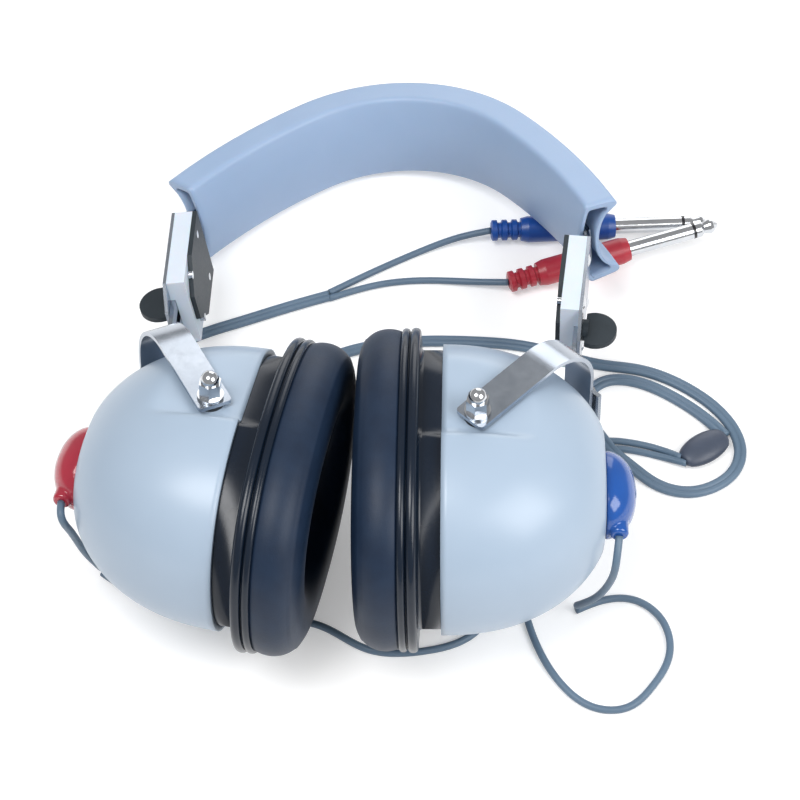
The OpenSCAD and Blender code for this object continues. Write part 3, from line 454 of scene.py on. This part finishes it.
def shell_grid():
    """The outer dome from the crown to the rim, round the lip and back up the inner
    dome. At the angle q the dome's height is H * sin(q) to the power 2 / 2.2, and its
    half sizes are A and B times cos(q) to that power."""
    q = np.linspace(np.pi / 2, 0, OUTER_ROWS + 1)[1:]
    outer_x, outer_k = CUP_H * np.sin(q) ** (2 / DOME_E), np.cos(q) ** (2 / DOME_E)
    inner_h = CUP_H - CUP_WALL
    inner_x, inner_k = inner_h * np.sin(q[::-3]) ** (2 / DOME_E), np.cos(q[::-3]) ** (2 / DOME_E)
    outer_x = soft_min(outer_x, LAND_X, LAND_BLEND)
    inner_x = soft_min(inner_x, LAND_X - CUP_WALL, LAND_BLEND)
    x = np.concatenate([outer_x, [-0.0], inner_x])
    a = np.concatenate([outer_k * CUP_A, [CUP_A - LIP_IN], inner_k * (CUP_A - CUP_WALL)])
    b = np.concatenate([outer_k * CUP_B, [CUP_B - LIP_IN], inner_k * (CUP_B - CUP_WALL)])
    rows = ovals_along(x, a, b)
    seat = np.where(np.arange(len(x)) <= OUTER_ROWS, SEAT_Z, SEAT_Z - CUP_WALL)[:, None]
    return pressed(rows, seat)


for side, word in enumerate(SIDES):
    shell = surface(word + "_shell_moulding", from_cup(side, shell_grid()))
    dress(shell, word + "_cup", "shell", shell_plastic, word + "_cup_shell")

# %% [markdown]
# ## Neck and flange
#
# Between shell and cushion is one black gloss moulding: a neck, then a flange with
# two rounded beads and a groove between them. It is a profile carried round the
# oval, and the neck is flattened by the yoke's seat as the shell is.

# %% Flange surface
NECK_LEN, FLANGE_A, FLANGE_B, FLANGE_T = 7.8, 58, 46.4, 6.6
NECK_A, NECK_B, NECK_WALL, BAFFLE_T = CUP_A - 2, CUP_B - 2, 5.4, 3
OPENING_A, OPENING_B = 31, 22
FILLET_R, GROOVE_IN, THROAT_OUT = 1.5, 1.5, 7
# each bead: where it starts behind the neck, its width and its height
BEADS = ((0, 3.5, 1.7), (3.7, 2.9, 1.5))


def rim_grid():
    """A closed profile of places along the cup's axis with their two half sizes. It runs
    down the neck, over the two beads, and back through the ear opening."""
    x, a, b = [0, -0.2, -NECK_LEN + FILLET_R], [NECK_A] * 3, [NECK_B] * 3
    for q in np.linspace(0, np.pi / 2, 7):
        x.append(-NECK_LEN + FILLET_R - FILLET_R * np.sin(q))
        a.append(NECK_A + FILLET_R * (1 - np.cos(q)))
        b.append(NECK_B + FILLET_R * (1 - np.cos(q)))
    neck = len(x)
    for behind, width, height in BEADS:
        for q in np.linspace(0, np.pi, 13):
            x.append(-NECK_LEN - behind - width * (1 - np.cos(q)) / 2)
            a.append(FLANGE_A - GROOVE_IN + height * np.sin(q) ** 0.8)
            b.append(FLANGE_B - GROOVE_IN + height * np.sin(q) ** 0.8)
    for place in (-NECK_LEN - FLANGE_T, -BAFFLE_T):
        x.append(place)
        a.append(OPENING_A + THROAT_OUT)
        b.append(OPENING_B + THROAT_OUT)
    for place in (-BAFFLE_T, 0):
        x.append(place)
        a.append(NECK_A - NECK_WALL)
        b.append(NECK_B - NECK_WALL)
    rows = ovals_along(x, np.array(a), np.array(b))
    rows[:neck] = pressed(rows[:neck], SEAT_Z)
    return rows


for side, word in enumerate(SIDES):
    rim = surface(word + "_flange", from_cup(side, rim_grid()), wrap_rows=True)
    dress(rim, word + "_cup", "flange", flange_plastic, word + "_cup_rim")

# %% [markdown]
# ## The ear cushions
#
# A cushion is a foam ring in a thin satin vinyl skin. It is drawn in where it is
# clipped to the flange, fullest half way out, and has a welded seam where its side
# turns into its face.

# %% Cushion surface
# the section's angles in degrees: where it starts at the flange, and where the seam is
CUSHION_T, CLIP_AT, FULLNESS = 15.2, -25, 0.75
RIDGE_H, RIDGE_AT, RIDGE_W = 0.3, 52, 2.2


def cushion_grid(count=224):
    """A closed ring. The section's radius follows a squared off circle, and a small
    ridge stands on it at the seam."""
    low = np.sin(np.radians(CLIP_AT))
    q = np.concatenate([np.linspace(CLIP_AT, 90, 30), np.linspace(90, 180 - CLIP_AT, 30)[1:]])
    q = np.radians(q)
    c = np.sign(np.cos(q)) * abs(np.cos(q)) ** FULLNESS
    mid_a, mid_b = (FLANGE_A - 0.3 + OPENING_A) / 2, (FLANGE_B - 0.2 + OPENING_B) / 2
    ridge = RIDGE_H * np.exp(-((np.degrees(q) - RIDGE_AT) / RIDGE_W) ** 2)
    x = -NECK_LEN - FLANGE_T - CUSHION_T * (np.sin(q) - low) / (1 - low) - ridge * 0.5
    a = mid_a + (mid_a - OPENING_A) * c + ridge
    b = mid_b + (mid_b - OPENING_B) * c + ridge
    return ovals_along(x, a, b, count)


for side, word in enumerate(SIDES):
    cushion = surface(word + "_cushion_skin", from_cup(side, cushion_grid()), wrap_rows=True)
    dress(cushion, word + "_cup", "cushion", cushion_vinyl, word + "_ear_cushion")

# %% [markdown]
# ## The headband pad
#
# The pad is a hollow vinyl extrusion with a grooved back. The outer and the inner
# profile have the same number of points, so one surface runs along the outside, over
# the cut end, and back through the hollow.

# %% Pad surface
BAND_W, BAND_T, BAND_SETIN, BAND_WALL, BAND_BULGE = 38.6, 12.4, 1, 1.5, 4
GROOVE_DEPTH, GROOVE_LIP = 8.2, 3
# the bevels on the ridges, down the side and inward, outside and in the hollow
EDGE_OUT, EDGE_IN = (0.6, 0.8), (1, 0.6)
CROWN_R, CROWN_HALF, SIDE_R, BAND_END = 58, 40, 195, 58
BAND_AT, BAND_TURN = np.array([6.7, 173, 23.5]), (-10.4, -8.1, -7.5)


def rounded(points):
    """A closed outline with its corners rounded: three times over, each point moves half
    way towards the middle of its neighbours."""
    for _ in range(3):
        before, after = np.roll(points, 1, 0), np.roll(points, -1, 0)
        points = points + 0.5 * ((before + after) / 2 - points)
    return points


def resampled(points, count):
    """A closed outline read at even distances."""
    closed = np.vstack([points, points[:1]])
    far = np.concatenate([[0], np.cumsum(np.linalg.norm(np.diff(closed, axis=0), axis=1))])
    t = np.linspace(0, far[-1], count + 1)[:-1]
    return np.stack([np.interp(t, far, closed[:, k]) for k in (0, 1)], -1)


def pad_profiles(count=128):
    """Outside and hollow as [t, w] outlines, t outward from the ridges and w across."""
    half = BAND_W / 2
    lip, groove = half - BAND_SETIN, half - BAND_SETIN - GROOVE_LIP
    w = np.linspace(half, -half, 40)
    face = np.stack([-BAND_BULGE * (1 - (w / half) ** 2), w], -1)
    q = np.radians(np.linspace(180, 0, 40))
    back = np.stack([BAND_T - GROOVE_DEPTH * np.sin(q), groove * np.cos(q)], -1)
    down, inward = EDGE_OUT
    outside = np.vstack([face, [[BAND_T - down, -lip], [BAND_T, inward - lip]], back,
                         [[BAND_T, lip - inward], [BAND_T - down, lip]]])
    half_in = half - 1.3 * BAND_WALL
    lip_in = half_in - BAND_SETIN
    groove_in = lip_in + 0.3 * BAND_WALL - GROOVE_LIP + BAND_WALL
    w = np.linspace(half_in, -half_in, 40)
    face = np.stack([BAND_WALL - BAND_BULGE * (1 - (w / half) ** 2), w], -1)
    q = np.radians(np.linspace(156, 24, 40))
    deep = GROOVE_DEPTH + BAND_WALL
    back = np.stack([BAND_T - deep * np.sin(q), groove_in * np.cos(q)], -1)
    top = back[0, 0]
    down, inward = EDGE_IN
    hollow = np.vstack([face, [[top - down, -lip_in], [top, inward - lip_in]], back,
                        [[top, lip_in - inward], [top - down, lip_in]]])
    return [rounded(resampled(p, count)) for p in (outside, hollow)]


def arch_point(a, t):
    """The point of the arch at angle a from the crown, t outward: a round crown with
    two flatter arcs that carry on from it."""
    side = abs(a) > CROWN_HALF
    radius = np.where(side, SIDE_R, CROWN_R) + t
    r = np.radians(a)
    back = np.where(side, CROWN_R - SIDE_R, 0)
    x = back * np.sign(a) * np.sin(np.radians(CROWN_HALF)) + radius * np.sin(r)
    y = back * np.cos(np.radians(CROWN_HALF)) + radius * np.cos(r) - CROWN_R
    return x, y


def pad_grid():
    """Rows along the outside from end to end, over the cut edge in two steps, back
    through the hollow, and over the other cut edge."""
    outside, hollow = pad_profiles()
    angles = np.concatenate([np.linspace(-BAND_END, -CROWN_HALF, 25)[:-1],
        np.linspace(-CROWN_HALF, CROWN_HALF, 61), np.linspace(CROWN_HALF, BAND_END, 25)[1:]])
    edge = [outside + share * (hollow - outside) for share in (0.2, 0.8)]
    end = np.array([BAND_END])
    stations = [(angles, outside), (end, edge[0]), (end, edge[1]),
                (angles[::-1], hollow), (-end, edge[1]), (-end, edge[0])]
    rows = []
    for a, profile in stations:
        x, y = arch_point(a[:, None], profile[None, :, 0])
        rows.append(np.stack([x, y, np.broadcast_to(profile[:, 1], x.shape)], -1))
    band = spin("z", BAND_TURN[0]) @ spin("x", BAND_TURN[1]) @ spin("y", BAND_TURN[2])
    return to_row(BAND_AT + np.vstack(rows) @ band.T)


pad = surface("headband_pad_vinyl", pad_grid(), wrap_rows=True)
dress(pad, "headband", "pad", pad_vinyl, "headband_pad")

# %% [markdown]
# ## The coloured caps
#
# A red cap marks the left cup and a blue one the right. Each is a hooded dome with
# a spout for the lead. The two shapes are melted into one by a voxel remesh and a
# few smoothing steps, which gives the soft moulded blend between them.

# %% Caps
CAP_A, CAP_B, CAP_H, CAP_Y = 16, 12.5, 11, -2.5
SPOUT_X, SPOUT_Y, SPOUT_D = 60.5, -20, 6.6
VOXEL = 0.0004


def cap_grids():
    """The dome as shrinking ovals, and the spout as a plain tube with a rounded end."""
    q = np.linspace(np.pi / 2, 0, 40)[1:]
    k = np.cos(q) ** (2 / DOME_E)
    dome = ovals_along(LAND_X + CAP_H * np.sin(q), CAP_A * k, CAP_B * k, 96) + [0, CAP_Y, 0]
    y = np.array([CAP_Y, SPOUT_Y + 1.2, SPOUT_Y + 0.4, SPOUT_Y])
    r = SPOUT_D / 2 * np.array([1, 1, 0.93, 0.74])
    t = np.linspace(0, 2 * np.pi, 49)[:-1]
    spout = np.stack([SPOUT_X + r[:, None] * np.cos(t), np.broadcast_to(y[:, None], (4, 48)),
                      r[:, None] * np.sin(t)], -1)
    return dome, spout


for side, (word, finish_of_cap) in enumerate((("red", red_plastic), ("blue", blue_plastic))):
    dome, spout = (surface("part", from_cup(side, g)) for g in cap_grids())
    with bpy.context.temp_override(active_object=dome, selected_editable_objects=[dome, spout]):
        bpy.ops.object.join()
    dome.name = word + "_cap_moulding"
    melt = dome.modifiers.new("melt", "REMESH")
    melt.mode, melt.voxel_size, melt.use_smooth_shade = "VOXEL", VOXEL, True
    relax = dome.modifiers.new("relax", "SMOOTH")
    relax.factor, relax.iterations = 0.5, 10
    dress(dome, SIDES[side] + "_cup", word, finish_of_cap, word + "_cap")

# %% [markdown]
# ## Foam behind the baffle
#
# Behind the earphone the cup is filled with open foam against outside noise. The block
# follows the inside of the dome with a little play, so it is made from the same ovals.

# %% Foam behind the baffle
PLAY, FOAM_EDGE = 1.5, 0.94
FOAM_ROWS = np.array([16, 18, 24, 30, 36, 42, 46, 48.5])
for side, word in enumerate(SIDES):
    k = (1 - (FOAM_ROWS / (CUP_H - CUP_WALL)) ** DOME_E) ** (1 / DOME_E)
    k[[0, -1]] *= FOAM_EDGE
    a = (CUP_A - CUP_WALL) * k - PLAY
    b = np.minimum((CUP_B - CUP_WALL) * k, SEAT_Z - CUP_WALL) - PLAY
    rows = ovals_along(FOAM_ROWS, a, b, 96)
    block = surface(word + "_foam_block", from_cup(side, rows))
    dress(block, word + "_cup", "foam", foam, word + "_foam_liner")

# %% [markdown]
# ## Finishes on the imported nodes
#
# The metal strips, bolts, clamps, boots and plugs are rigid and exact in the packed
# model, so their meshes stay and only their finishes change.

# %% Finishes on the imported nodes
KEPT = {"spring": nickel, "rivets": nickel, "end_plate": strap_nickel, "clamp_block": nylon,
    "inner_plate": dark_enamel, "thumb_screw": dark_enamel, "slider": strap_nickel, "swivel": nickel,
    "yoke": strap_nickel, "baffle": grille, "earphone": rubber, "studs": nickel, "spacers": rubber,
    "nuts": nickel, "red_boot": red_boot_vinyl, "blue_boot": blue_boot_vinyl, "sleeve": nickel,
    "insulator": insulator_black, "tip": nickel}
for name, node in nodes.items():
    for word, kept in KEPT.items():
        if word in name:
            for slot in node.material_slots:
                slot.material = kept
print("finishes on", sum(any(word in name for word in KEPT) for name in nodes), "packed nodes")

# %% [markdown]
# ## Table and light
#
# The photograph has a white ground and even, soft light. A Light Path node gives the
# floor a little glow of its own for camera, mirror and glass rays alone, so it looks
# white, keeps a faint shadow and throws no light on matt surfaces. In the same way
# the world is white to the camera and dimmer as a light. Three large soft lamps
# stand round the object.

# %% Floor
FLOOR_HALF, FLOOR_GREY, FLOOR_GLOW = 8, 0.8, 0.3
floor_mesh = bpy.data.meshes.new("floor")
floor_mesh.from_pydata([(x * FLOOR_HALF, y * FLOOR_HALF, 0) for x, y in ((-1, -1), (1, -1), (1, 1), (-1, 1))],
                       [], [(0, 1, 2, 3)])
floor = bpy.data.objects.new("floor", floor_mesh)
bpy.context.scene.collection.objects.link(floor)
ground = bpy.data.materials.new("ground")
ground.use_nodes = True
tree = ground.node_tree
shader = tree.nodes["Principled BSDF"]
shader.inputs["Base Color"].default_value = (FLOOR_GREY, FLOOR_GREY, FLOOR_GREY, 1)
shader.inputs["Roughness"].default_value = 0.9
shader.inputs["Specular IOR Level"].default_value = 0.0
path_info = tree.nodes.new("ShaderNodeLightPath")
glow = tree.nodes.new("ShaderNodeEmission")
sighted = path_info.outputs["Is Camera Ray"]
for ray in ("Is Glossy Ray", "Is Transmission Ray"):
    either = tree.nodes.new("ShaderNodeMath")
    either.operation = "MAXIMUM"
    tree.links.new(sighted, either.inputs[0])
    tree.links.new(path_info.outputs[ray], either.inputs[1])
    sighted = either.outputs[0]
share = tree.nodes.new("ShaderNodeMath")
share.operation = "MULTIPLY"
share.inputs[1].default_value = FLOOR_GLOW
tree.links.new(sighted, share.inputs[0])
both = tree.nodes.new("ShaderNodeAddShader")
tree.links.new(share.outputs[0], glow.inputs["Strength"])
tree.links.new(shader.outputs[0], both.inputs[0])
tree.links.new(glow.outputs[0], both.inputs[1])
tree.links.new(both.outputs[0], tree.nodes["Material Output"].inputs["Surface"])
floor_mesh.materials.append(ground)
print("floor", 2 * FLOOR_HALF, "m wide")

# %% Light
WORLD_LIGHT = 0.42
AIM_AT = (0, 0, 0.03)
world = bpy.data.worlds.new("studio")
bpy.context.scene.world = world
world.use_nodes = True
tree = world.node_tree
background = tree.nodes["Background"]
background.inputs["Color"].default_value = (1, 1, 1, 1)
path_info = tree.nodes.new("ShaderNodeLightPath")
level = tree.nodes.new("ShaderNodeMapRange")
level.inputs["To Min"].default_value = WORLD_LIGHT
level.inputs["To Max"].default_value = 1.0
tree.links.new(path_info.outputs["Is Camera Ray"], level.inputs["Value"])
tree.links.new(level.outputs["Result"], background.inputs["Strength"])


def lamp(name, place, size, power):
    """A square soft lamp at a place, turned so that it shines at the object's middle,
    30 mm above the table."""
    data = bpy.data.lights.new(name, "AREA")
    data.size, data.energy = size, power
    lamp_object = bpy.data.objects.new(name, data)
    lamp_object.location = place
    aim = np.array(AIM_AT) - np.array(place, float)
    aim /= np.linalg.norm(aim)
    lamp_object.rotation_euler = (np.arccos(-aim[2]), 0, np.arctan2(-aim[0], aim[1]))
    bpy.context.scene.collection.objects.link(lamp_object)


lamp("key", (-0.4, -0.3, 1.25), 0.6, 10)
lamp("fill", (0.75, -0.5, 0.85), 0.7, 9)
lamp("back", (0.2, 1.2, 0.5), 0.8, 4)
print(len(bpy.data.lights), "lamps")
